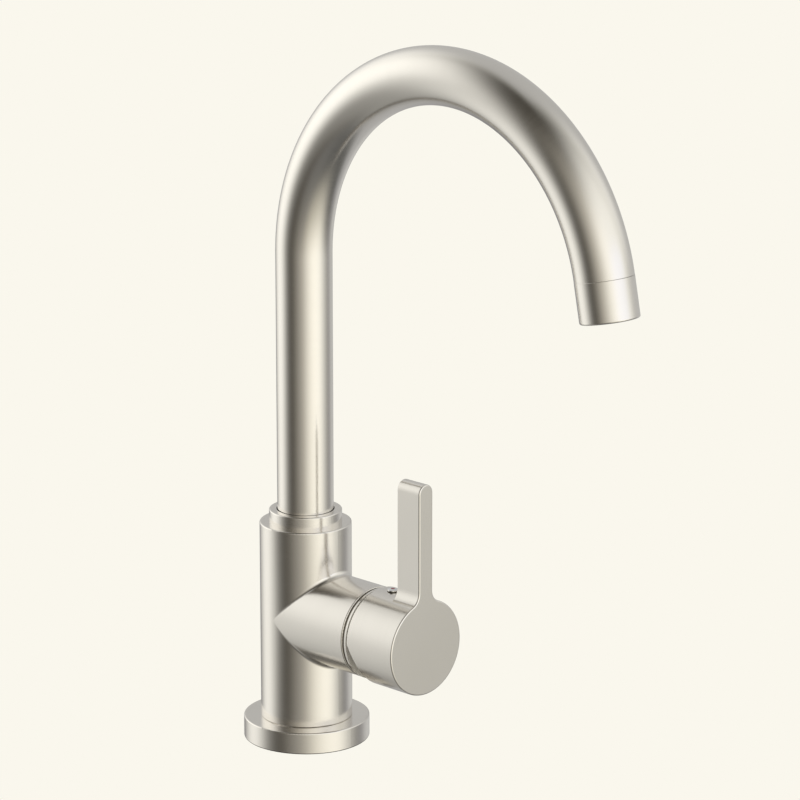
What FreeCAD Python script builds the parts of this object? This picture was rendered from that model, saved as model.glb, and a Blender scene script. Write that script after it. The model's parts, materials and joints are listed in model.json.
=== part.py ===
import FreeCAD, Part
import math
import os

# Single-lever kitchen mixer tap with a swivelling gooseneck spout, in millimetres.
# The origin is the centre of the underside, on the worktop. +Z is up, and +X is the way that
# the handle and the spout point. Threads are drawn as plain cylinders.

Vector = FreeCAD.Vector
x_axis = Vector(1, 0, 0)
y_axis = Vector(0, 1, 0)
z_axis = Vector(0, 0, 1)

# Fits, the small round on turned edges, and how near counts as equal
thread_clearance = 0.05
push_clearance = 0.1
running_clearance = 0.1
slip_gap = 0.05
free_gap = 0.3
fine_round = 0.4
same_place = 1e-6
same_size = 0.01

# Base flange and its gasket
flange_diameter = 57.0
flange_height = 9.9
flange_round = 0.6
spigot_diameter = 35.0
gasket_diameter = 50.0
gasket_width = 4.0
gasket_depth = 2.0

# Body: an upright column and a side branch of one diameter
body_diameter = 41.4
body_top = 101.2
handle_height = 58.8
branch_reach = 44.15
branch_wall = 2.2
branch_round = 0.6
column_round = 0.65
junction_round = 2.0

# Connections in the underside, and the water channels
inlet_bore = 8.92
inlet_depth = 12.0
inlet_offset = 2.0
stud_bore = 6.65
stud_depth = 18.0
stud_offset = -10.0
channel_diameter = 6.0
channel_wall = 3.0

# Spout gland in the top of the body
gland_depth = 13.0
gland_wall = 2.5
collar_diameter = 32.8
collar_height = 5.8
collar_lip = 3.0
collar_round = 0.6
collar_gap = 0.35
glide_wall = 1.3
washer_thickness = 1.2
shoulder_thickness = 3.0
shoulder_step = 1.9

# Spout
tube_diameter = 25.4
tube_wall = 1.2
arch_radius = 90.0
arch_start = 224.5
arch_sweep = 168.6
shank_bore = 16.0
shank_insert = 12.0
shank_end_gap = 0.5
o_ring_section = 1.8
o_ring_count = 2
o_ring_groove = 2.3
o_ring_first = 5.5
o_ring_pitch = 6.0

# Nozzle and aerator at the end of the spout, sizes along the flow from the seam
seam_chamfer = 0.12
nozzle_length = 17.6
nozzle_round = 0.8
nozzle_wall = 1.9
nozzle_thread = 5.0
nozzle_inlet = 17.0
nozzle_floor = 3.0
nozzle_washer = 2.0
nozzle_washer_hole = 15.0
screen_thickness = 0.6
screen_hole = 1.2
screen_pitch = 2.0
regulator_thickness = 3.0
regulator_hole = 1.8
regulator_circle = 13.0
regulator_count = 12
insert_length = 7.6
insert_face = 2.0
insert_wall = 1.8
insert_hole = 2.3
insert_pitch = 2.8

# Ceramic cartridge, from the mouth of the branch inwards
skirt_length = 2.15
nut_gap = 0.2
nut_thickness = 3.8
nut_hole = 3.0
nut_hole_count = 6
thread_step = 1.4
shell_wall = 2.3
shell_lip = 1.4
rotor_play = 0.2
neck_step = 3.2
neck_lead = 4.0
pivot_lead = 2.0
pivot_diameter = 4.0
lift_angle = 25.0
stem_arm = 9.4
stem_ball = 4.0
stem_ball_clearance = 0.15
stem_neck = 2.8
stem_neck_lead = 1.2
stem_width = 7.0
stem_height = 6.0
driver_cover = 1.4
driver_floor = 0.6
driver_width = 16.0
drive_peg = 2.4
drive_peg_length = 1.2
drive_peg_side = 5.5
drive_peg_rise = 7.0
moving_disc_thickness = 3.4
moving_disc_margin = 1.0
disc_rim = 1.4
pocket_depth = 1.8
pocket_width = 13.0
pocket_top = 3.5
fixed_disc_thickness = 4.0
base_thickness = 4.4
port_diameter = 6.0
inlet_port_reach = 9.2
inlet_port_angle = 60.0
outlet_port_drop = 6.0
seal_land = 0.8
seal_width = 1.6
seal_depth = 1.4
locating_peg = 3.0
locating_peg_length = 2.0
locating_peg_reach = 13.8
locating_peg_angle = 30.0

# Trim ring: a rim past a shallow groove, and a domed lip centred on the lever's pivot
trim_groove = 1.4
trim_groove_depth = 1.0
trim_width = 1.3
trim_round = 0.15
dome_diameter = 37.2
dome_wall = 1.6
dome_hole = 29.0

# Handle: a round hub and a flat lever in one piece
hub_gap = 1.3
hub_diameter = 43.2
hub_depth = 27.85
hub_wall = 2.3
hub_front_wall = 10.0
relief_radius = 40.0
relief_depth = 5.7
relief_drop = 20.0
lever_thickness = 8.3
lever_depth = 13.7
lever_reach = 74.5
lever_root = 6.0
lever_round = 0.65
lever_back_round = 0.5
boss_diameter = 14.0
boss_margin = 1.2
stem_socket_depth = 11.0
plug_set_back = 7.35
plug_diameter = 5.0
plug_rise = 1.25
plug_dome = 0.45
plug_length = 3.6
dot_diameter = 1.9
dot_depth = 0.5
screw_diameter = 5.0
screw_length = 5.0
screw_key = 2.5
screw_key_sides = 6
screw_key_depth = 2.0

# Radii and places that follow from the sizes above
body_radius = body_diameter / 2
tube_radius = tube_diameter / 2
tube_inner = tube_radius - tube_wall
channel_radius = channel_diameter / 2
port_radius = port_diameter / 2
lift = math.radians(lift_angle)

skirt_back = branch_reach - skirt_length
nut_front = skirt_back - nut_gap
shell_front = nut_front - nut_thickness
lip_back = shell_front - shell_lip
pivot_x = shell_front + pivot_lead
neck_front = pivot_x + neck_lead
tip_x = pivot_x - stem_arm
driver_front = tip_x + driver_cover
rotor_back = driver_front + free_gap
driver_back = tip_x - stem_ball / 2 - stem_ball_clearance - driver_floor
moving_disc_back = driver_back - moving_disc_thickness
fixed_disc_front = moving_disc_back - slip_gap
fixed_disc_back = fixed_disc_front - fixed_disc_thickness
seat_x = fixed_disc_back - base_thickness

thread_radius = body_radius - branch_wall
chamber_radius = thread_radius - thread_step
cartridge_radius = chamber_radius - push_clearance
shell_inner = cartridge_radius - shell_wall
rotor_radius = shell_inner - running_clearance
neck_radius = rotor_radius - neck_step
disc_travel = stem_arm * math.sin(lift)
disc_rise = -disc_travel / 2
moving_disc_radius = shell_inner - disc_travel / 2 - moving_disc_margin
seal_inner = port_radius + seal_land
seal_outer = seal_inner + seal_width

inlet_side = inlet_port_reach * math.sin(math.radians(inlet_port_angle))
inlet_rise = inlet_port_reach * math.cos(math.radians(inlet_port_angle))
ports = [(-inlet_side, inlet_rise), (inlet_side, inlet_rise), (0, -outlet_port_drop)]
peg_side = locating_peg_reach * math.cos(math.radians(locating_peg_angle))
peg_rise = -locating_peg_reach * math.sin(math.radians(locating_peg_angle))

collar_top = body_top + collar_height
gland_floor = body_top - gland_depth
gland_radius = tube_radius + gland_wall
glide_inner = tube_radius + running_clearance
glide_outer = glide_inner + glide_wall
shoulder_bottom = gland_floor + washer_thickness + slip_gap
tube_bottom = shoulder_bottom + shoulder_thickness
upper_washer_bottom = tube_bottom + slip_gap
collar_bottom = upper_washer_bottom + washer_thickness
socket_floor = handle_height + inlet_rise + channel_radius + channel_wall
shank_radius = tube_inner - thread_clearance
socket_radius = shank_radius + running_clearance
o_ring_groove_radius = socket_radius - o_ring_section - 2 * slip_gap

nozzle_chamber = tube_radius - nozzle_wall
aerator_radius = nozzle_chamber - push_clearance
screen_start = nozzle_floor + nozzle_washer
regulator_start = screen_start + screen_thickness
insert_start = regulator_start + regulator_thickness
insert_end = insert_start + insert_length

hub_radius = hub_diameter / 2
trim_diameter = body_diameter
trim_neck = trim_diameter - 2 * trim_groove_depth
rim_back = branch_reach + trim_groove
rim_front = rim_back + trim_width
hub_back = rim_front + hub_gap
hub_front = hub_back + hub_depth
lever_back = hub_front - lever_depth
cavity_front = hub_front - hub_front_wall
plug_x = hub_back + plug_set_back
plug_top = hub_radius + plug_rise
boss_back = plug_x - screw_diameter / 2 - boss_margin
stem_front = boss_back + stem_socket_depth
screw_bottom = stem_height / 2 + slip_gap


def upright(radius, bottom, top, x=0, y=0):
    return Part.makeCylinder(radius, top - bottom, Vector(x, y, bottom), z_axis)


def upright_ring(outer, inner, bottom, top):
    return upright(outer, bottom, top).cut(upright(inner, bottom, top))


# Shapes about the handle's axis: side is along Y and rise along Z, both from that axis.
def level(radius, back, front, side=0, rise=0):
    return Part.makeCylinder(radius, front - back, Vector(back, side, handle_height + rise), x_axis)


def level_ring(outer, inner, back, front, side=0, rise=0):
    return level(outer, back, front, side, rise).cut(level(inner, back, front, side, rise))


def level_bar(back, front, width, low, high):
    corner = Vector(back, -width / 2, handle_height + low)
    return Part.makeBox(front - back, width, high - low, corner)


def riser(radius, x, low, high):
    return upright(radius, handle_height + low, handle_height + high, x)


# The end of the spout: where the arch stops, and the way that the water leaves it.
def spout_end():
    turn = math.radians(arch_sweep)
    out = arch_radius * (1 - math.cos(turn))
    up = arch_start + arch_radius * math.sin(turn)
    return Vector(out, 0, up), Vector(math.sin(turn), 0, math.cos(turn))


def nozzle_rod(radius, start, end, across=0, aside=0):
    seam, flow = spout_end()
    centre = seam + flow * start + y_axis.cross(flow) * across + y_axis * aside
    return Part.makeCylinder(radius, end - start, centre, flow)


# Holes on a triangular grid, those that fit whole inside a circle.
def grid_holes(hole, pitch, circle, start, end):
    rods = []
    reach = int(circle / pitch) + 1
    for row in range(-reach, reach + 1):
        for column in range(-2 * reach, 2 * reach + 1):
            across = row * pitch * math.sqrt(3) / 2
            aside = (column + row / 2) * pitch
            if math.hypot(across, aside) + hole / 2 <= circle:
                rods.append(nozzle_rod(hole / 2, start, end, across, aside))
    return rods


# Places evenly spaced on a circle.
def around(count, circle):
    turns = [2 * math.pi * number / count for number in range(count)]
    return [(circle * math.cos(turn), circle * math.sin(turn)) for turn in turns]


def edges_at_height(shape, height):
    return [edge for edge in shape.Edges if all(abs(v.Z - height) < same_place for v in edge.Vertexes)]


def edges_at_reach(shape, reach):
    return [edge for edge in shape.Edges if all(abs(v.X - reach) < same_place for v in edge.Vertexes)]


def base_flange():
    disc = upright(flange_diameter / 2, 0, flange_height)
    disc = disc.makeFillet(flange_round, edges_at_height(disc, flange_height))
    disc = disc.makeFillet(fine_round, edges_at_height(disc, 0))
    hole = upright(spigot_diameter / 2 + push_clearance, 0, flange_height)
    outer = gasket_diameter / 2
    groove = upright_ring(outer, outer - gasket_width, 0, gasket_depth)
    return disc.cut([hole, groove])


def base_gasket():
    outer = gasket_diameter / 2 - push_clearance
    inner = gasket_diameter / 2 - gasket_width + push_clearance
    return upright_ring(outer, inner, 0, gasket_depth)


# The column and the branch meet on two crossing half ellipses, which run from the column's
# sides out to its front.
def body_outside():
    column = upright(body_radius, flange_height, body_top)
    outside = column.fuse(level(body_radius, 0, branch_reach))
    mitres = [e for e in outside.Edges if abs(e.BoundBox.XLength - e.BoundBox.ZLength) < same_size]
    mitres = [e for e in mitres if abs(e.BoundBox.XLength - body_radius) < same_size]
    outside = outside.makeFillet(junction_round, mitres)
    outside = outside.makeFillet(column_round, edges_at_height(outside, body_top))
    outside = outside.makeFillet(fine_round, edges_at_height(outside, flange_height))
    outside = outside.makeFillet(branch_round, edges_at_reach(outside, branch_reach))
    return outside.fuse(upright(spigot_diameter / 2, 0, flange_height))


# Hot and cold rise from the underside to the cartridge's upper ports. The mixed water leaves
# by its lower port and goes up the middle to the spout.
def body_channels():
    cuts = []
    for side in (-inlet_side, inlet_side):
        cuts.append(upright(inlet_bore / 2, 0, inlet_depth, inlet_offset, side))
        cuts.append(upright(channel_radius, 0, handle_height + inlet_rise, inlet_offset, side))
        cuts.append(level(channel_radius, inlet_offset - channel_radius, seat_x, side, inlet_rise))
    cuts.append(level(channel_radius, -channel_radius, seat_x, 0, -outlet_port_drop))
    cuts.append(upright(channel_radius, handle_height - outlet_port_drop, socket_floor))
    return cuts


def mixer_body():
    cuts = body_channels()
    cuts.append(upright(stud_bore / 2, 0, stud_depth, stud_offset))
    cuts.append(level(chamber_radius, seat_x, branch_reach))
    cuts.append(level(thread_radius, lip_back, branch_reach))
    cuts.append(upright(socket_radius, socket_floor, body_top))
    cuts.append(upright(gland_radius + thread_clearance, gland_floor, body_top))
    peg_hole = locating_peg / 2 + push_clearance
    for side in (-peg_side, peg_side):
        cuts.append(level(peg_hole, seat_x - locating_peg_length - push_clearance, seat_x, side, peg_rise))
    return body_outside().cut(cuts)


# Gland nut that holds the spout down, with a lip over the glide ring.
def spout_collar():
    head = upright(collar_diameter / 2, body_top, collar_top)
    head = head.makeFillet(collar_round, edges_at_height(head, collar_top))
    nut = head.fuse(upright(gland_radius, collar_bottom, body_top))
    nut = nut.cut(upright(tube_radius + collar_gap, collar_bottom, collar_top))
    return nut.cut(upright(glide_outer + thread_clearance, collar_bottom, collar_top - collar_lip))


def collar_glide_ring():
    return upright_ring(glide_outer, glide_inner, collar_bottom, collar_top - collar_lip)


def slip_washer(inner, bottom):
    return upright_ring(gland_radius - push_clearance, inner, bottom, bottom + washer_thickness)


def o_ring_height(number):
    return socket_floor + o_ring_first + number * o_ring_pitch


def spout_shank():
    shank = upright(shank_radius, socket_floor + shank_end_gap, tube_bottom + shank_insert)
    shank = shank.fuse(upright(tube_radius + shoulder_step, shoulder_bottom, tube_bottom))
    for number in range(o_ring_count):
        low = o_ring_height(number) - o_ring_groove / 2
        groove = upright_ring(socket_radius, o_ring_groove_radius, low, low + o_ring_groove)
        shank = shank.cut(groove)
    return shank.cut(upright(shank_bore / 2, socket_floor, tube_bottom + shank_insert))


def spout_o_ring(number):
    middle = socket_radius - slip_gap - o_ring_section / 2
    return Part.makeTorus(middle, o_ring_section / 2, Vector(0, 0, o_ring_height(number)), z_axis)


# A rod that stands on the shank, then follows the arch to the spout's end.
def bent_rod(radius):
    disc = Part.Face(Part.Wire(Part.makeCircle(radius, Vector(0, 0, arch_start))))
    arch = disc.revolve(Vector(arch_radius, 0, arch_start), y_axis, arch_sweep)
    return upright(radius, tube_bottom, arch_start).fuse(arch)


def spout_tube():
    return bent_rod(tube_radius).cut(bent_rod(tube_inner)).removeSplitter()


def edges_along_flow(shape, distance):
    seam, flow = spout_end()
    centre = seam + flow * distance
    return [edge for edge in shape.Edges if (edge.CenterOfMass - centre).Length < same_place]


# The straight threaded neck goes up into a tube that still curves, so it is smaller by the
# curve's sag over the neck's length.
def aerator_housing():
    sag = nozzle_thread ** 2 / (2 * arch_radius)
    housing = nozzle_rod(tube_radius, 0, nozzle_length)
    housing = housing.makeFillet(nozzle_round, edges_along_flow(housing, nozzle_length))
    housing = housing.makeChamfer(seam_chamfer, edges_along_flow(housing, 0))
    housing = housing.fuse(nozzle_rod(tube_inner - thread_clearance - sag, -nozzle_thread, 0))
    inlet = nozzle_rod(nozzle_inlet / 2, -nozzle_thread, nozzle_floor)
    return housing.cut([inlet, nozzle_rod(nozzle_chamber, nozzle_floor, nozzle_length)])


def aerator_washer():
    washer = nozzle_rod(aerator_radius, nozzle_floor, screen_start)
    return washer.cut(nozzle_rod(nozzle_washer_hole / 2, nozzle_floor, screen_start))


def aerator_screen():
    disc = nozzle_rod(aerator_radius, screen_start, regulator_start)
    circle = nozzle_washer_hole / 2
    return disc.cut(grid_holes(screen_hole, screen_pitch, circle, screen_start, regulator_start))


def flow_regulator():
    disc = nozzle_rod(aerator_radius, regulator_start, insert_start)
    jets = around(regulator_count, regulator_circle / 2)
    radius = regulator_hole / 2
    return disc.cut([nozzle_rod(radius, regulator_start, insert_start, *place) for place in jets])


def aerator_insert():
    cup = nozzle_rod(aerator_radius, insert_start, insert_end)
    inner = aerator_radius - insert_wall
    cup = cup.cut(nozzle_rod(inner, insert_start, insert_end - insert_face))
    return cup.cut(grid_holes(insert_hole, insert_pitch, inner, insert_start, insert_end))


def cartridge_base():
    base = level(cartridge_radius, seat_x, fixed_disc_back)
    for side in (-peg_side, peg_side):
        base = base.fuse(level(locating_peg / 2, seat_x - locating_peg_length, seat_x, side, peg_rise))
    for port in ports:
        base = base.cut(level(port_radius, seat_x, fixed_disc_back, *port))
        base = base.cut(level_ring(seal_outer, seal_inner, seat_x, seat_x + seal_depth, *port))
    return base


def cartridge_seals():
    outer = seal_outer - push_clearance
    inner = seal_inner + push_clearance
    return Part.makeCompound([level_ring(outer, inner, seat_x, seat_x + seal_depth, *port) for port in ports])


def fixed_disc():
    disc = level(shell_inner - push_clearance, fixed_disc_back, fixed_disc_front)
    return disc.cut([level(port_radius, fixed_disc_back, fixed_disc_front, *port) for port in ports])


# The pocket in its rubbing face joins the inlets to the outlet as the disc rises.
def moving_disc():
    disc = level(moving_disc_radius, moving_disc_back, driver_back, 0, disc_rise)
    pocket_front = moving_disc_back + pocket_depth
    inner = moving_disc_radius - disc_rim
    pocket = level(inner, moving_disc_back, pocket_front, 0, disc_rise)
    high = disc_rise + pocket_top
    pocket = pocket.common(level_bar(moving_disc_back, pocket_front, pocket_width, disc_rise - inner, high))
    return disc.cut([pocket] + drive_pegs(push_clearance))


def drive_pegs(clearance):
    back = driver_back - drive_peg_length - clearance
    radius = drive_peg / 2 + clearance
    rise = disc_rise + drive_peg_rise
    return [level(radius, back, driver_back, side, rise) for side in (-drive_peg_side, drive_peg_side)]


def disc_driver():
    driver = level(moving_disc_radius, driver_back, driver_front, 0, disc_rise)
    low = disc_rise - moving_disc_radius
    high = disc_rise + moving_disc_radius
    driver = driver.common(level_bar(driver_back, driver_front, driver_width, low, high))
    driver = driver.cut(level(stem_ball / 2 + stem_ball_clearance, driver_back + driver_floor, driver_front))
    return driver.fuse(drive_pegs(0))


def cartridge_shell():
    shell = level_ring(cartridge_radius, shell_inner, fixed_disc_back, lip_back)
    return shell.fuse(level_ring(cartridge_radius, neck_radius + rotor_play, lip_back, shell_front))


# Turns with the handle. Its two cheeks guide the disc's driver, and its slot lets the stem tilt.
def cartridge_rotor():
    shoulder_front = lip_back - rotor_play
    cheeks_back = driver_back + free_gap
    rotor = level(rotor_radius, cheeks_back, shoulder_front)
    rotor = rotor.fuse(level(neck_radius, shoulder_front, neck_front))
    gap = driver_width + 2 * running_clearance
    rotor = rotor.cut(level_bar(cheeks_back, rotor_back, gap, -rotor_radius, rotor_radius))
    sweep = (pivot_x - rotor_back) * math.tan(lift) + stem_height / 2 / math.cos(lift) + free_gap
    rotor = rotor.cut(level_bar(rotor_back, neck_front, stem_width + 2 * free_gap, -sweep, sweep))
    return rotor.cut(pivot(pivot_diameter / 2 + slip_gap, neck_radius))


def pivot(radius, half_length):
    return Part.makeCylinder(radius, 2 * half_length, Vector(pivot_x, -half_length, handle_height), y_axis)


def pivot_pin():
    half_length = math.sqrt(neck_radius ** 2 - (pivot_diameter / 2) ** 2) - free_gap
    return pivot(pivot_diameter / 2, half_length)


def lever_stem():
    bar_back = rotor_back + stem_neck_lead
    bar = level_bar(bar_back, stem_front, stem_width, -stem_height / 2, stem_height / 2)
    neck = level(stem_neck / 2, tip_x, bar_back)
    ball = Part.makeSphere(stem_ball / 2, Vector(tip_x, 0, handle_height))
    return bar.fuse([neck, ball]).cut(pivot(pivot_diameter / 2 + slip_gap, stem_width))


def cartridge_nut():
    outer = thread_radius - thread_clearance
    inner = neck_radius + 2 * rotor_play
    holes = around(nut_hole_count, (outer + inner) / 2)
    nut = level_ring(outer, inner, shell_front, nut_front)
    return nut.cut([level(nut_hole / 2, shell_front, nut_front, *place) for place in holes])


def trim_ring():
    centre = Vector(pivot_x, 0, handle_height)
    rim = level(trim_diameter / 2, rim_back, rim_front)
    for reach in (rim_back, rim_front):
        rim = rim.makeFillet(trim_round, edges_at_reach(rim, reach))
    dome_radius = dome_diameter / 2
    dome = Part.makeSphere(dome_radius, centre)
    dome = dome.common(level(dome_radius, branch_reach, pivot_x + dome_radius))
    inner = dome_radius - dome_wall
    skirt_inner = math.sqrt(inner ** 2 - (branch_reach - pivot_x) ** 2)
    skirt = level(thread_radius - thread_clearance, skirt_back, rim_front - trim_round)
    neck = level(trim_neck / 2, branch_reach + slip_gap, rim_front - trim_round)
    ring = rim.fuse([dome, skirt, neck])
    bore = level(skirt_inner, skirt_back, branch_reach)
    mouth = level(dome_hole / 2, skirt_back, pivot_x + dome_radius)
    hollow = Part.makeSphere(inner, centre).common(level(inner, branch_reach, pivot_x + inner))
    return ring.cut([bore, hollow, mouth])


# The front outline: the hub's circle, two root rounds and the straight lever with a round top.
def lever_outline():
    half = lever_thickness / 2
    shoulder = lever_reach - half
    root_side = half + lever_root
    root_rise = math.sqrt((hub_radius + lever_root) ** 2 - root_side ** 2)
    share = hub_radius / (hub_radius + lever_root)
    lean = math.atan2(root_rise, root_side)

    def point(side, rise):
        return Vector(lever_back, side, handle_height + rise)

    def root_arc(hand):
        middle_side = root_side - lever_root * math.cos(lean / 2)
        middle_rise = root_rise - lever_root * math.sin(lean / 2)
        foot = point(hand * root_side * share, root_rise * share)
        return Part.Arc(point(hand * half, root_rise), point(hand * middle_side, middle_rise), foot)

    left_foot = point(-root_side * share, root_rise * share)
    right_foot = point(root_side * share, root_rise * share)
    curves = [
        Part.Arc(point(half, shoulder), point(0, lever_reach), point(-half, shoulder)),
        Part.LineSegment(point(-half, shoulder), point(-half, root_rise)),
        root_arc(-1),
        Part.Arc(left_foot, point(0, -hub_radius), right_foot),
        root_arc(1),
        Part.LineSegment(point(half, root_rise), point(half, shoulder)),
    ]
    return Part.Wire([curve.toShape() for curve in curves])


def handle_outside():
    plate = Part.Face(lever_outline()).extrude(x_axis * lever_depth)
    plate = plate.makeFillet(lever_round, edges_at_reach(plate, hub_front))
    plate = plate.makeFillet(lever_back_round, edges_at_reach(plate, lever_back))
    barrel = level(hub_radius, hub_back, hub_front - lever_round)
    barrel = barrel.makeFillet(fine_round, edges_at_reach(barrel, hub_back))
    return plate.fuse(barrel).removeSplitter()


# The hub is hollow around a boss that takes the stem. Its lower back edge is cut away on an
# arc, which leaves room for the hub to tilt over the branch.
def handle():
    cavity = level(hub_radius - hub_wall, hub_back, cavity_front)
    cavity = cavity.cut(level(boss_diameter / 2, boss_back, cavity_front))
    relief_centre = Vector(hub_back + relief_depth - relief_radius, -hub_radius, handle_height - relief_drop)
    relief = Part.makeCylinder(relief_radius, hub_diameter, relief_centre, y_axis)
    width = stem_width + 2 * push_clearance
    high = stem_height / 2 + push_clearance
    stem_socket = level_bar(boss_back, stem_front + push_clearance, width, -high, high)
    screw_hole = riser(screw_diameter / 2 + thread_clearance, plug_x, 0, boss_diameter / 2)
    plug_hole = riser(plug_diameter / 2 + thread_clearance, plug_x, hub_radius - 2 * hub_wall, plug_top)
    return handle_outside().cut([cavity, relief, stem_socket, screw_hole, plug_hole])


def set_screw():
    screw_top = screw_bottom + screw_length
    screw = riser(screw_diameter / 2, plug_x, screw_bottom, screw_top)
    key_floor = handle_height + screw_top - screw_key_depth
    corners = around(screw_key_sides, screw_key / 2 / math.cos(math.pi / screw_key_sides))
    corners = [Vector(plug_x + x, y, key_floor) for x, y in corners]
    key = Part.Face(Part.makePolygon(corners + corners[:1])).extrude(z_axis * screw_key_depth)
    return screw.cut(key)


# A rod that follows the plug's low domed top
def domed_rod(radius, length):
    sphere_radius = ((plug_diameter / 2) ** 2 + plug_dome ** 2) / (2 * plug_dome)
    sphere = Part.makeSphere(sphere_radius, Vector(plug_x, 0, handle_height + plug_top - sphere_radius))
    return riser(radius, plug_x, plug_top - length, plug_top).common(sphere)


def indicator_plug():
    plug = domed_rod(plug_diameter / 2, plug_length)
    return plug.cut(riser(dot_diameter / 2, plug_x, plug_top - dot_depth, plug_top))


def indicator_dot():
    return domed_rod(dot_diameter / 2 - slip_gap, dot_depth)


parts = {
    "base_flange": base_flange(),
    "base_gasket": base_gasket(),
    "mixer_body": mixer_body(),
    "spout_collar": spout_collar(),
    "collar_glide_ring": collar_glide_ring(),
    "upper_slip_washer": slip_washer(tube_radius + push_clearance, upper_washer_bottom),
    "lower_slip_washer": slip_washer(socket_radius, gland_floor),
    "spout_tube": spout_tube(),
    "spout_shank": spout_shank(),
    "lower_o_ring": spout_o_ring(0),
    "upper_o_ring": spout_o_ring(1),
    "aerator_housing": aerator_housing(),
    "aerator_washer": aerator_washer(),
    "aerator_screen": aerator_screen(),
    "flow_regulator": flow_regulator(),
    "aerator_insert": aerator_insert(),
    "cartridge_base": cartridge_base(),
    "cartridge_seals": cartridge_seals(),
    "fixed_ceramic_disc": fixed_disc(),
    "moving_ceramic_disc": moving_disc(),
    "disc_driver": disc_driver(),
    "cartridge_shell": cartridge_shell(),
    "cartridge_rotor": cartridge_rotor(),
    "pivot_pin": pivot_pin(),
    "lever_stem": lever_stem(),
    "cartridge_nut": cartridge_nut(),
    "trim_ring": trim_ring(),
    "handle": handle(),
    "handle_set_screw": set_screw(),
    "indicator_plug": indicator_plug(),
    "indicator_dot": indicator_dot(),
}

os.makedirs("parts", exist_ok=True)
for name, shape in parts.items():
    shape.exportStep(f"parts/{name}.step")
    print(name, "valid" if shape.isValid() else "NOT VALID", len(shape.Solids), round(shape.Volume, 1))
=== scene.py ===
import bpy
import json
import math
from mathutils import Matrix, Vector


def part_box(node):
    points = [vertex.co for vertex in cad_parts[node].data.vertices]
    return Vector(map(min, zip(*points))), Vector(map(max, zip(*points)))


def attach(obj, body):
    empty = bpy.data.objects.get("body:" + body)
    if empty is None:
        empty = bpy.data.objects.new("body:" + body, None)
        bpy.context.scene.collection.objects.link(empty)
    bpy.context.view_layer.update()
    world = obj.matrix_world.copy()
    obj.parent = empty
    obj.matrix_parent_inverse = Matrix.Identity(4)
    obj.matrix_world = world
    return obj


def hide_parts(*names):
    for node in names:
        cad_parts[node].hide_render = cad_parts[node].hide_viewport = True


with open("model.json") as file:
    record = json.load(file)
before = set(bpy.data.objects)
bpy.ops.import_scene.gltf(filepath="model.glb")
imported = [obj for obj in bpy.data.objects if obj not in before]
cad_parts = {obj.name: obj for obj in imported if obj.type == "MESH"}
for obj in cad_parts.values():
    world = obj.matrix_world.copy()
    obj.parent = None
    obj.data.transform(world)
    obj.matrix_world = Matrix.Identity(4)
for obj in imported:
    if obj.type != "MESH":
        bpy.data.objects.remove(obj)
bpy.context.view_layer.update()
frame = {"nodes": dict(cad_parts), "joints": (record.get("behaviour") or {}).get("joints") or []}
nodes = frame["nodes"]
mm = 0.001
print("frame loaded with", len(nodes), "nodes")

# Node kinds that come up often, and the values between which nearly all of a noise lies
vectorMath = "ShaderNodeVectorMath"
numberMath = "ShaderNodeMath"
noiseLow, noiseHigh = 0.3, 0.7


# sRGB hex to linear red, green, blue and alpha
def linear(colour, strength=1.0):
    values = [int(colour[i:i + 2], 16) / 255 for i in (0, 2, 4)]
    values = [v / 12.92 if v <= 0.04045 else ((v + 0.055) / 1.055) ** 2.4 for v in values]
    return tuple(v * strength for v in values) + (1.0,)


# one node with its settings; an input is a value or a socket to link
def addNode(tree, kind, inputs=None, **settings):
    node = tree.nodes.new(kind)
    for key, value in settings.items():
        setattr(node, key, value)
    for key, value in (inputs or {}).items():
        if isinstance(value, bpy.types.NodeSocket):
            tree.links.new(value, node.inputs[key])
        else:
            node.inputs[key].default_value = value
    return node


# Places and axes, in metres
def middle(node):
    low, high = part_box(node)
    return (low + high) / 2


upAxis = Vector((0, 0, 1))
outAxis = Vector((1, 0, 0))
sideAxis = Vector((0, 1, 0))
columnFoot = Vector((0, 0, 0))
pivot = Vector([joint["pos_m"] for joint in frame["joints"] if joint["name"] == "flow_lift"][0])

# The camera stands before the handle's left side, a little above the tap.
camera = {"place": (1.24914, -1.18922, 0.61904), "tilt": 75.0, "turn": 45.0, "lens": 180.4, "sensor": 36.0}


def makeCamera():
    data = bpy.data.cameras.new("camera")
    data.sensor_width = camera["sensor"]
    data.lens = camera["lens"]
    obj = bpy.data.objects.new("camera", data)
    obj.location = camera["place"]
    obj.rotation_euler = (math.radians(camera["tilt"]), 0, math.radians(camera["turn"]))
    bpy.context.scene.collection.objects.link(obj)
    bpy.context.scene.camera = obj


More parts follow.
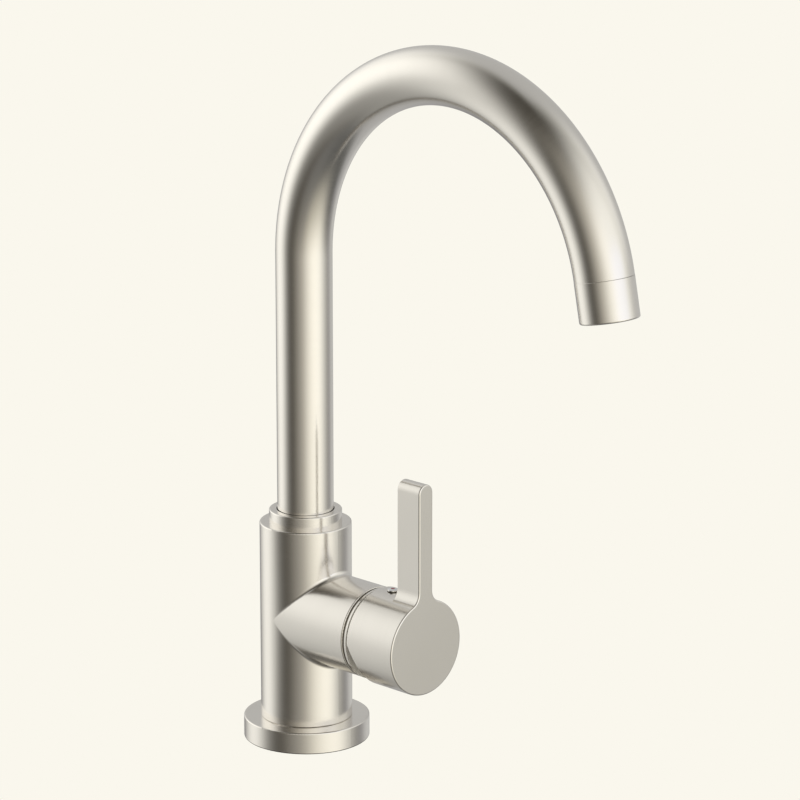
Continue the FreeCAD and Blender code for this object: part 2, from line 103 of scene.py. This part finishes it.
# Soft lights all round: a bearing from +X and a height, half the width and height in degrees,
# how sharp the edge is, and the colour and strength.
studio = {
    "backdrop": "FAF7ED",
    "ambient": ("FFF3DE", 0.058),
    "lights": {
        "leftSoftbox": {"bearing": -161, "height": 11, "half": (39, 45), "edge": 3.2,
                        "glow": ("FFFEF8", 1.26)},
        "rightSoftbox": {"bearing": 13, "height": 16, "half": (56, 48), "edge": 3.4,
                         "glow": ("FFFEF7", 1.03)},
        "coolPanel": {"bearing": 10, "height": 9, "half": (28, 10), "edge": 4.0,
                      "glow": ("90A8FF", 0.20)},
        "warmReflector": {"bearing": -4, "height": -29, "half": (36, 28), "edge": 3.5,
                          "glow": ("FFF8E1", 0.43)},
        "frontFill": {"bearing": -51, "height": 9, "half": (35, 34), "edge": 2.3,
                      "glow": ("FFF9EA", 0.49)},
        "backWall": {"bearing": 113, "height": 30, "half": (52, 67), "edge": 7.0,
                     "glow": ("FFFFF7", 0.31)},
        "backGlow": {"bearing": 117, "height": 6, "half": (57, 90), "edge": 7.0,
                     "glow": ("F5F5FF", 0.165)},
        "lowBounce": {"bearing": 165, "height": -59, "half": (70, 28), "edge": 4.6,
                      "glow": ("FFFFF9", 0.285)},
        "frontLow": {"bearing": -85, "height": -47, "half": (30, 20), "edge": 3.0,
                     "glow": ("FFFAF2", 0.047)},
        "floorBounce": {"bearing": 4, "height": -70, "half": (62, 30), "edge": 7.0,
                        "glow": ("F1F9FF", 0.075)},
    },
}


# how bright one soft light is along the ray's way: exp(-distance ** edge)
def softLight(tree, way, light):
    bearing = math.radians(light["bearing"])
    height = math.radians(light["height"])
    level = Vector((math.cos(bearing), math.sin(bearing), 0))
    toward = level * math.cos(height) + upAxis * math.sin(height)
    right = Vector((-math.sin(bearing), math.cos(bearing), 0))
    up = toward.cross(right)
    dots = []
    for side in (toward, right, up):
        dot = addNode(tree, vectorMath, {0: way, 1: side}, operation="DOT_PRODUCT")
        dots.append(dot.outputs["Value"])
    across = addNode(tree, numberMath, {0: dots[1], 1: dots[0]}, operation="ARCTAN2").outputs[0]
    above = addNode(tree, numberMath, {0: dots[2]}, operation="ARCSINE").outputs[0]
    squares = []
    for angle, half in zip((across, above), light["half"]):
        share = addNode(tree, numberMath, {0: angle, 1: math.radians(half)}, operation="DIVIDE").outputs[0]
        squares.append(addNode(tree, numberMath, {0: share, 1: 2.0}, operation="POWER").outputs[0])
    both = addNode(tree, numberMath, {0: squares[0], 1: squares[1]}, operation="ADD").outputs[0]
    fall = addNode(tree, numberMath, {0: both, 1: light["edge"] / 2}, operation="POWER").outputs[0]
    minus = addNode(tree, numberMath, {0: fall, 1: -1.0}, operation="MULTIPLY").outputs[0]
    bright = addNode(tree, numberMath, {0: minus}, operation="EXPONENT").outputs[0]
    colour = linear(*light["glow"])[:3]
    return addNode(tree, vectorMath, {0: colour, "Scale": bright}, operation="SCALE").outputs[0]


def makeStudio():
    world = bpy.data.worlds.new("softStudio")
    bpy.context.scene.world = world
    world.use_nodes = True
    tree = world.node_tree
    tree.nodes.clear()
    way = addNode(tree, "ShaderNodeTexCoord").outputs["Generated"]
    total = linear(*studio["ambient"])[:3]
    for light in studio["lights"].values():
        glow = softLight(tree, way, light)
        total = addNode(tree, vectorMath, {0: glow, 1: total}, operation="ADD").outputs[0]
    room = addNode(tree, "ShaderNodeBackground", {"Color": total})
    paper = addNode(tree, "ShaderNodeBackground", {"Color": linear(studio["backdrop"])})
    seen = addNode(tree, "ShaderNodeLightPath").outputs["Is Camera Ray"]
    mix = addNode(tree, "ShaderNodeMixShader", {0: seen, 1: room.outputs[0], 2: paper.outputs[0]})
    addNode(tree, "ShaderNodeOutputWorld", {"Surface": mix.outputs[0]})
    bpy.context.scene.view_settings.view_transform = "Standard"


makeCamera()
makeStudio()
print("camera and studio light made")


def newMaterial(name):
    material = bpy.data.materials.new(name)
    material.use_nodes = True
    material.node_tree.nodes.clear()
    return material, material.node_tree


# A brushing gives two things: a place that changes fast across the brush lines and slowly along
# them, and the direction of the lines.

# lines that run round an axis, as a lathe or a polishing belt leaves them
def turnedBrush(tree, look, centre, axis):
    here = addNode(tree, "ShaderNodeTexCoord").outputs["Object"]
    fromCentre = addNode(tree, vectorMath, {0: here, 1: centre}, operation="SUBTRACT").outputs[0]
    along = addNode(tree, vectorMath, {0: fromCentre, 1: axis}, operation="DOT_PRODUCT").outputs["Value"]
    foot = addNode(tree, vectorMath, {0: axis, "Scale": along}, operation="SCALE").outputs[0]
    spoke = addNode(tree, vectorMath, {0: fromCentre, 1: foot}, operation="SUBTRACT").outputs[0]
    off = addNode(tree, vectorMath, {0: spoke}, operation="LENGTH").outputs["Value"]
    slow = (1 / look["lineRun"],) * 3
    drift = addNode(tree, vectorMath, {0: fromCentre, 1: slow}, operation="DOT_PRODUCT").outputs["Value"]
    rows = addNode(tree, numberMath, {0: along, 1: look["linePitch"]}, operation="DIVIDE").outputs[0]
    rings = addNode(tree, numberMath, {0: off, 1: look["linePitch"]}, operation="DIVIDE").outputs[0]
    place = addNode(tree, "ShaderNodeCombineXYZ", {"X": rows, "Y": rings, "Z": drift}).outputs[0]
    lines = addNode(tree, vectorMath, {0: axis, 1: spoke}, operation="CROSS_PRODUCT").outputs[0]
    return place, lines


# straight lines along an axis
def straightBrush(tree, look, axis):
    here = addNode(tree, "ShaderNodeTexCoord").outputs["Object"]
    scale = [1 / look["lineRun"] if part else 1 / look["linePitch"] for part in axis]
    place = addNode(tree, vectorMath, {0: here, 1: scale}, operation="MULTIPLY").outputs[0]
    lines = addNode(tree, "ShaderNodeCombineXYZ", dict(zip("XYZ", axis))).outputs[0]
    return place, lines


# lines round a bent tube, from the length and the direction stored along it
def tubeBrush(tree, look):
    here = addNode(tree, "ShaderNodeTexCoord").outputs["Object"]
    along = addNode(tree, "ShaderNodeAttribute", attribute_name="along").outputs["Fac"]
    flow = addNode(tree, "ShaderNodeAttribute", attribute_name="flow").outputs["Vector"]
    facing = addNode(tree, "ShaderNodeNewGeometry").outputs["Normal"]
    outward = addNode(tree, "ShaderNodeVectorTransform", {0: facing},
                      vector_type="NORMAL", convert_from="WORLD", convert_to="OBJECT").outputs[0]
    lines = addNode(tree, vectorMath, {0: flow, 1: outward}, operation="CROSS_PRODUCT").outputs[0]
    slow = (1 / look["lineRun"],) * 3
    drift = addNode(tree, vectorMath, {0: here, 1: slow}, operation="DOT_PRODUCT").outputs["Value"]
    rows = addNode(tree, numberMath, {0: along, 1: look["linePitch"]}, operation="DIVIDE").outputs[0]
    place = addNode(tree, "ShaderNodeCombineXYZ", {"X": rows, "Y": drift, "Z": drift}).outputs[0]
    return place, lines


# the second brushing where the mask is 1
def joinBrushes(tree, mask, first, second):
    return [addNode(tree, "ShaderNodeMix", {0: mask, 4: one, 5: other}, data_type="VECTOR").outputs[1]
            for one, other in zip(first, second)]


# 1 past a place along an axis, and 0 before it
def pastPlace(tree, axis, place):
    here = addNode(tree, "ShaderNodeTexCoord").outputs["Object"]
    along = addNode(tree, vectorMath, {0: here, 1: axis}, operation="DOT_PRODUCT").outputs["Value"]
    return addNode(tree, numberMath, {0: along, 1: place}, operation="GREATER_THAN").outputs[0]


# Metal with fine lines: they vary the roughness and the height, and stretch a reflection across
# themselves. A patch has another colour and roughness past its place along its axis.
def linedMetal(name, look, brushing, patches=()):
    material, tree = newMaterial(name)
    place, lines = brushing(tree, look)
    streaks = addNode(tree, "ShaderNodeTexNoise",
                      {"Vector": place, "Scale": 1.0, "Detail": 2.0}).outputs["Fac"]
    rough = addNode(tree, "ShaderNodeMapRange",
                    {"Value": streaks, "From Min": noiseLow, "From Max": noiseHigh,
                     "To Min": look["rough"] - look["roughSpread"],
                     "To Max": look["rough"] + look["roughSpread"]}).outputs[0]
    bump = addNode(tree, "ShaderNodeBump",
                   {"Height": streaks, "Strength": 1.0, "Distance": look["lineDepth"]}).outputs[0]
    here = addNode(tree, "ShaderNodeTexCoord").outputs["Object"]
    clouds = addNode(tree, "ShaderNodeTexNoise",
                     {"Vector": here, "Scale": 1 / look["cloud"], "Detail": 2.0}).outputs["Fac"]
    shades = {0: clouds, 6: linear(look["shade"]), 7: linear(look["colour"])}
    colour = addNode(tree, "ShaderNodeMix", shades, data_type="RGBA").outputs[2]
    for patch in patches:
        inside = pastPlace(tree, patch["axis"], patch["place"])
        shades = {0: inside, 6: colour, 7: linear(patch["colour"])}
        colour = addNode(tree, "ShaderNodeMix", shades, data_type="RGBA").outputs[2]
        rough = addNode(tree, "ShaderNodeMix", {0: inside, 2: rough, 3: patch["rough"]}).outputs[0]
    run = addNode(tree, "ShaderNodeVectorTransform", {0: lines},
                  vector_type="VECTOR", convert_from="OBJECT", convert_to="WORLD").outputs[0]
    facing = addNode(tree, "ShaderNodeNewGeometry").outputs["Normal"]
    across = addNode(tree, vectorMath, {0: facing, 1: run}, operation="CROSS_PRODUCT").outputs[0]
    shader = addNode(tree, "ShaderNodeBsdfPrincipled",
                     {"Base Color": colour, "Metallic": 1.0, "Roughness": rough,
                      "Anisotropic": look["stretch"], "Tangent": across, "Normal": bump})
    addNode(tree, "ShaderNodeOutputMaterial", {"Surface": shader.outputs[0]})
    return material


# Moulded, lapped or painted surfaces: two near shades in patches, and a fine grain in gloss and height
def grainedSurface(name, look):
    material, tree = newMaterial(name)
    here = addNode(tree, "ShaderNodeTexCoord").outputs["Object"]
    patches = addNode(tree, "ShaderNodeTexNoise",
                      {"Vector": here, "Scale": 1 / look["patch"], "Detail": 3.0}).outputs["Fac"]
    shades = {0: patches, 6: linear(look["shade"]), 7: linear(look["colour"])}
    colour = addNode(tree, "ShaderNodeMix", shades, data_type="RGBA").outputs[2]
    grain = addNode(tree, "ShaderNodeTexNoise",
                    {"Vector": here, "Scale": 1 / look["grain"], "Detail": 2.0}).outputs["Fac"]
    rough = addNode(tree, "ShaderNodeMapRange",
                    {"Value": grain, "From Min": noiseLow, "From Max": noiseHigh,
                     "To Min": look["rough"] - look["roughSpread"],
                     "To Max": look["rough"] + look["roughSpread"]}).outputs[0]
    bump = addNode(tree, "ShaderNodeBump",
                   {"Height": grain, "Strength": 1.0, "Distance": look["grainDepth"]}).outputs[0]
    shader = addNode(tree, "ShaderNodeBsdfPrincipled",
                     {"Base Color": colour, "Roughness": rough, "IOR": look["ior"], "Normal": bump})
    addNode(tree, "ShaderNodeOutputMaterial", {"Surface": shader.outputs[0]})
    return material


def dress(material, *names):
    for name in names:
        for place in nodes[name].material_slots:
            place.material = material


# Nickel plate, satin brushed: a warm pale grey metal with soft clear reflections. The lines are
# drawn five times coarser than the real 0.05 mm ones, so that they show close up.
satinNickel = {"colour": "EBE8E4", "shade": "E6E3DE", "rough": 0.20, "roughSpread": 0.03,
               "linePitch": 0.25 * mm, "lineRun": 18 * mm, "lineDepth": 0.0008 * mm, "cloud": 35 * mm,
               "stretch": 0.2}
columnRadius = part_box("mixer_body")[1].y
hubRadius = (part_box("handle")[1].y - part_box("handle")[0].y) / 2
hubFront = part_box("handle")[1].x
edgeMargin = 0.3 * mm


def uprightBrush(tree, look):
    return turnedBrush(tree, look, columnFoot, upAxis)


def levelBrush(tree, look):
    return turnedBrush(tree, look, pivot, outAxis)


# the column is brushed round its own axis, and the branch round the handle's
def bodyBrush(tree, look):
    here = addNode(tree, "ShaderNodeTexCoord").outputs["Object"]
    flat = addNode(tree, vectorMath, {0: here, 1: (1, 1, 0)}, operation="MULTIPLY").outputs[0]
    off = addNode(tree, vectorMath, {0: flat}, operation="LENGTH").outputs["Value"]
    onBranch = addNode(tree, numberMath, {0: off, 1: columnRadius + edgeMargin}, operation="GREATER_THAN")
    return joinBrushes(tree, onBranch.outputs[0], uprightBrush(tree, look), levelBrush(tree, look))


# the hub is brushed round its axis, the lever and the flat front lengthwise
def handleBrush(tree, look):
    here = addNode(tree, "ShaderNodeTexCoord").outputs["Object"]
    fromPivot = addNode(tree, vectorMath, {0: here, 1: pivot}, operation="SUBTRACT").outputs[0]
    spoke = addNode(tree, vectorMath, {0: fromPivot, 1: (0, 1, 1)}, operation="MULTIPLY").outputs[0]
    off = addNode(tree, vectorMath, {0: spoke}, operation="LENGTH").outputs["Value"]
    onLever = addNode(tree, numberMath, {0: off, 1: hubRadius + edgeMargin}, operation="GREATER_THAN")
    onFront = pastPlace(tree, outAxis, hubFront - edgeMargin)
    flat = addNode(tree, numberMath, {0: onLever.outputs[0], 1: onFront}, operation="MAXIMUM")
    return joinBrushes(tree, flat.outputs[0], levelBrush(tree, look), straightBrush(tree, look, upAxis))


# The spout: a straight tube that bends over in one arc. Its radius and its foot come from the frame.
spout = {"archRadius": 90.0 * mm, "archStart": 224.5 * mm, "sweep": 168.6, "wall": 1.2 * mm,
         "inset": 0.04 * mm, "rings": 180, "sides": 96, "sharpAngle": 40.0}
tubeLow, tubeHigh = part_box("spout_tube")
sweep = math.radians(spout["sweep"])
flow = Vector((math.sin(sweep), 0, math.cos(sweep)))
seam = Vector((spout["archRadius"] * (1 - math.cos(sweep)), 0,
               spout["archStart"] + spout["archRadius"] * math.sin(sweep)))


def nozzleBrush(tree, look):
    return turnedBrush(tree, look, seam, flow)


# The groove before the trim ring's rim is painted darker: painted shade in the recess. The flat and the
# dome past the rim are matt.
trim = {"groove": 1.4 * mm, "rim": 1.3 * mm, "margin": 0.05 * mm}
grooveShade = {"colour": "B8B4AD", "rough": 0.35}
matt = {"colour": "F6F4F0", "rough": 0.85}
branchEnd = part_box("mixer_body")[1].x
rimBack = branchEnd + trim["groove"]
rimFront = rimBack + trim["rim"]
grooveWall = {"axis": outAxis, "place": branchEnd - trim["margin"], **grooveShade}
grooveFloor = {"axis": -outAxis, "place": -rimBack - trim["margin"], **grooveShade}
mattDome = {"axis": outAxis, "place": rimFront - trim["margin"], **matt}
# The flange's lowest edge, on the worktop, is painted dark too: a painted contact shadow and dark
# reflection.
flangeFootShade = {"height": 0.45 * mm, "colour": "3A3733", "rough": 0.4}
footShadow = {"axis": -upAxis, "place": -flangeFootShade["height"], **flangeFootShade}

dress(linedMetal("satinNickelFlange", satinNickel, uprightBrush, [footShadow]), "base_flange")
dress(linedMetal("satinNickelUpright", satinNickel, uprightBrush), "spout_collar")
dress(linedMetal("satinNickelBody", satinNickel, bodyBrush, [grooveWall]), "mixer_body")
dress(linedMetal("satinNickelLevel", satinNickel, levelBrush, [grooveFloor, mattDome]), "trim_ring")
dress(linedMetal("satinNickelHandle", satinNickel, handleBrush), "handle")
dress(linedMetal("satinNickelNozzle", satinNickel, nozzleBrush), "aerator_housing")
print("nickel pieces dressed")


# a circle swept along the path, with the length and the direction stored on it
def tubeTree():
    tree = bpy.data.node_groups.new("gooseneckTube", "GeometryNodeTree")
    kinds = {"Radius": "Float", "Foot": "Float", "Straight": "Float", "Arch radius": "Float",
             "Sweep": "Float", "Rings": "Int", "Sides": "Int", "Finish": "Material"}
    keys = {}
    for name, kind in kinds.items():
        socket = tree.interface.new_socket(name, in_out="INPUT", socket_type="NodeSocket" + kind)
        keys[name] = socket.identifier
    tree.interface.new_socket("Tube", in_out="OUTPUT", socket_type="NodeSocketGeometry")
    given = addNode(tree, "NodeGroupInput").outputs
    bend, straight = given["Arch radius"], given["Straight"]
    line = addNode(tree, "GeometryNodeCurvePrimitiveLine").outputs[0]
    points = addNode(tree, "GeometryNodeResampleCurve", {"Curve": line, "Count": given["Rings"]}).outputs[0]
    share = addNode(tree, "GeometryNodeSplineParameter").outputs["Factor"]
    arc = addNode(tree, numberMath, {0: bend, 1: given["Sweep"]}, operation="MULTIPLY").outputs[0]
    whole = addNode(tree, numberMath, {0: straight, 1: arc}, operation="ADD").outputs[0]
    run = addNode(tree, numberMath, {0: share, 1: whole}, operation="MULTIPLY").outputs[0]
    rise = addNode(tree, numberMath, {0: run, 1: straight}, operation="MINIMUM").outputs[0]
    past = addNode(tree, numberMath, {0: run, 1: rise}, operation="SUBTRACT").outputs[0]
    turn = addNode(tree, numberMath, {0: past, 1: bend}, operation="DIVIDE").outputs[0]
    cosine = addNode(tree, numberMath, {0: turn}, operation="COSINE").outputs[0]
    lean = addNode(tree, numberMath, {0: 1.0, 1: cosine}, operation="SUBTRACT").outputs[0]
    sine = addNode(tree, numberMath, {0: turn}, operation="SINE").outputs[0]
    out = addNode(tree, numberMath, {0: lean, 1: bend}, operation="MULTIPLY").outputs[0]
    start = addNode(tree, numberMath, {0: rise, 1: given["Foot"]}, operation="ADD").outputs[0]
    up = addNode(tree, numberMath, {0: sine, 1: bend, 2: start}, operation="MULTIPLY_ADD").outputs[0]
    spot = addNode(tree, "ShaderNodeCombineXYZ", {"X": out, "Z": up}).outputs[0]
    path = addNode(tree, "GeometryNodeSetPosition", {"Geometry": points, "Position": spot}).outputs[0]
    path = addNode(tree, "GeometryNodeStoreNamedAttribute",
                   {"Geometry": path, "Name": "along", "Value": run}).outputs[0]
    way = addNode(tree, "GeometryNodeInputTangent").outputs[0]
    path = addNode(tree, "GeometryNodeStoreNamedAttribute",
                   {"Geometry": path, "Name": "flow", "Value": way}, data_type="FLOAT_VECTOR").outputs[0]
    circle = addNode(tree, "GeometryNodeCurvePrimitiveCircle",
                     {"Resolution": given["Sides"], "Radius": given["Radius"]}).outputs[0]
    tube = addNode(tree, "GeometryNodeCurveToMesh", {"Curve": path, "Profile Curve": circle}).outputs[0]
    real = addNode(tree, "GeometryNodeRealizeInstances", {"Geometry": tube}).outputs[0]
    finish = {"Geometry": real, "Material": given["Finish"]}
    done = addNode(tree, "GeometryNodeSetMaterial", finish).outputs[0]
    addNode(tree, "NodeGroupOutput", {"Tube": done})
    return tree, keys


def makeSpout():
    tree, keys = tubeTree()
    # a hair thinner, so that the smooth arch stays inside the box of the faceted one
    radius = tubeHigh.y - spout["inset"]
    sizes = {"Radius": radius, "Foot": tubeLow.z, "Straight": spout["archStart"] - tubeLow.z,
             "Arch radius": spout["archRadius"], "Sweep": sweep,
             "Rings": spout["rings"], "Sides": spout["sides"],
             "Finish": linedMetal("satinNickelTube", satinNickel, tubeBrush)}
    maker = bpy.data.objects.new("spoutMaker", bpy.data.meshes.new("spoutMaker"))
    bpy.context.scene.collection.objects.link(maker)
    sweepStep = maker.modifiers.new("sweep", "NODES")
    sweepStep.node_group = tree
    for name, key in keys.items():
        sweepStep[key] = sizes[name]
    wallStep = maker.modifiers.new("wall", "SOLIDIFY")
    wallStep.thickness = spout["wall"]
    wallStep.offset = -1.0  # inwards
    ready = maker.evaluated_get(bpy.context.evaluated_depsgraph_get())
    mesh = bpy.data.meshes.new_from_object(ready)
    bpy.data.objects.remove(maker)
    mesh.name = "gooseneckSpout"
    mesh.shade_smooth()
    mesh.set_sharp_from_angle(angle=math.radians(spout["sharpAngle"]))
    piece = bpy.data.objects.new("gooseneckSpout", mesh)
    bpy.context.scene.collection.objects.link(piece)
    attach(piece, "spout")
    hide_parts("spout_tube")
    return piece


tube = makeSpout()
print("spout made with", len(tube.data.polygons), "faces")

# Bright chrome plate on the indicator plug: a clear mirror, with faint turning lines
brightChrome = {"colour": "F1F1F2", "shade": "EBECEE", "rough": 0.08, "roughSpread": 0.02,
                "linePitch": 0.3 * mm, "lineRun": 6 * mm, "lineDepth": 0.0003 * mm, "cloud": 4 * mm,
                "stretch": 0.2}
# Turned brass: yellow, with fine tool lines round the piece
turnedBrass = {"colour": "D9BD7E", "shade": "CFAF6C", "rough": 0.26, "roughSpread": 0.05,
               "linePitch": 0.2 * mm, "lineRun": 10 * mm, "lineDepth": 0.002 * mm, "cloud": 12 * mm,
               "stretch": 0.5}
# Stainless steel, drawn or turned: a cool grey with fine lines
drawnSteel = {"colour": "D3D3D1", "shade": "CBCBC8", "rough": 0.22, "roughSpread": 0.04,
              "linePitch": 0.15 * mm, "lineRun": 8 * mm, "lineDepth": 0.001 * mm, "cloud": 8 * mm,
              "stretch": 0.4}
# Below its domed cap the plug is painted dark: painted shade under the cap.
plug = {"cap": 0.8 * mm, "colour": "5C5851", "rough": 0.3}
plugSideShade = {"axis": -upAxis, "place": plug["cap"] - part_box("indicator_plug")[1].z, **plug}


def plugBrush(tree, look):
    return turnedBrush(tree, look, middle("indicator_plug"), upAxis)


def pinBrush(tree, look):
    return turnedBrush(tree, look, pivot, sideAxis)


def stemBrush(tree, look):
    return straightBrush(tree, look, outAxis)


dress(linedMetal("brightChromePlug", brightChrome, plugBrush, [plugSideShade]), "indicator_plug")
dress(linedMetal("turnedBrassUpright", turnedBrass, uprightBrush), "spout_shank")
dress(linedMetal("turnedBrassLevel", turnedBrass, levelBrush), "cartridge_nut")
dress(linedMetal("drawnSteelStem", drawnSteel, stemBrush), "lever_stem")
dress(linedMetal("drawnSteelPin", drawnSteel, pinBrush), "pivot_pin")
dress(linedMetal("turnedSteelScrew", drawnSteel, plugBrush), "handle_set_screw")
dress(linedMetal("rolledSteelScreen", drawnSteel, nozzleBrush), "aerator_screen")

# Red enamel paint in the plug's recess: smooth and deep
redPaint = {"colour": "A81E33", "shade": "8F1628", "rough": 0.26, "roughSpread": 0.05, "grain": 0.3 * mm,
            "grainDepth": 0.004 * mm, "patch": 1.2 * mm, "ior": 1.50}
# Moulded acetal: milky white and waxy, with a faint grain from the mould
acetal = {"colour": "F0EFEA", "shade": "E7E5DD", "rough": 0.40, "roughSpread": 0.06, "grain": 0.25 * mm,
          "grainDepth": 0.004 * mm, "patch": 6 * mm, "ior": 1.48}
# Moulded plastic of the aerator and the cartridge: mid grey with a spark-eroded grain
greyPlastic = {"colour": "8D8F91", "shade": "808284", "rough": 0.48, "roughSpread": 0.08,
               "grain": 0.3 * mm, "grainDepth": 0.006 * mm, "patch": 8 * mm, "ior": 1.53}
# Lapped alumina ceramic: ivory white, hard and nearly polished
alumina = {"colour": "F2EFE7", "shade": "EAE5D9", "rough": 0.20, "roughSpread": 0.05, "grain": 0.15 * mm,
           "grainDepth": 0.001 * mm, "patch": 3 * mm, "ior": 1.76}
# Moulded nitrile rubber: dull black, with a greyish bloom
rubber = {"colour": "1B1B1C", "shade": "2B2B2B", "rough": 0.62, "roughSpread": 0.10, "grain": 0.2 * mm,
          "grainDepth": 0.008 * mm, "patch": 5 * mm, "ior": 1.52}
dress(grainedSurface("redEnamelDot", redPaint), "indicator_dot")
dress(grainedSurface("mouldedAcetal", acetal), "collar_glide_ring", "upper_slip_washer",
      "lower_slip_washer", "flow_regulator", "disc_driver", "cartridge_rotor")
dress(grainedSurface("mouldedGreyPlastic", greyPlastic), "aerator_insert", "cartridge_base",
      "cartridge_shell")
dress(grainedSurface("lappedAlumina", alumina), "fixed_ceramic_disc", "moving_ceramic_disc")
dress(grainedSurface("mouldedRubber", rubber), "base_gasket", "lower_o_ring", "upper_o_ring",
      "aerator_washer", "cartridge_seals")
print("inner pieces dressed")

# A sheet of pale paper, which a view from below looks through
floor = {"width": 60.0, "colour": "FAF7ED"}


def makeFloor():
    half = floor["width"] / 2
    corners = [(-half, -half, 0), (half, -half, 0), (half, half, 0), (-half, half, 0)]
    mesh = bpy.data.meshes.new("floor")
    mesh.from_pydata(corners, [], [(0, 1, 2, 3)])
    obj = bpy.data.objects.new("floor", mesh)
    bpy.context.scene.collection.objects.link(obj)
    obj.visible_glossy = False
    obj.visible_shadow = False
    material, tree = newMaterial("palePaper")
    paper = {"Color": linear(floor["colour"]), "Strength": 1.0}
    glow = addNode(tree, "ShaderNodeEmission", paper).outputs[0]
    clear = addNode(tree, "ShaderNodeBsdfTransparent").outputs[0]
    below = addNode(tree, "ShaderNodeNewGeometry").outputs["Backfacing"]
    mix = addNode(tree, "ShaderNodeMixShader", {0: below, 1: glow, 2: clear})
    addNode(tree, "ShaderNodeOutputMaterial", {"Surface": mix.outputs[0]})
    mesh.materials.append(material)


makeFloor()
print("floor made")
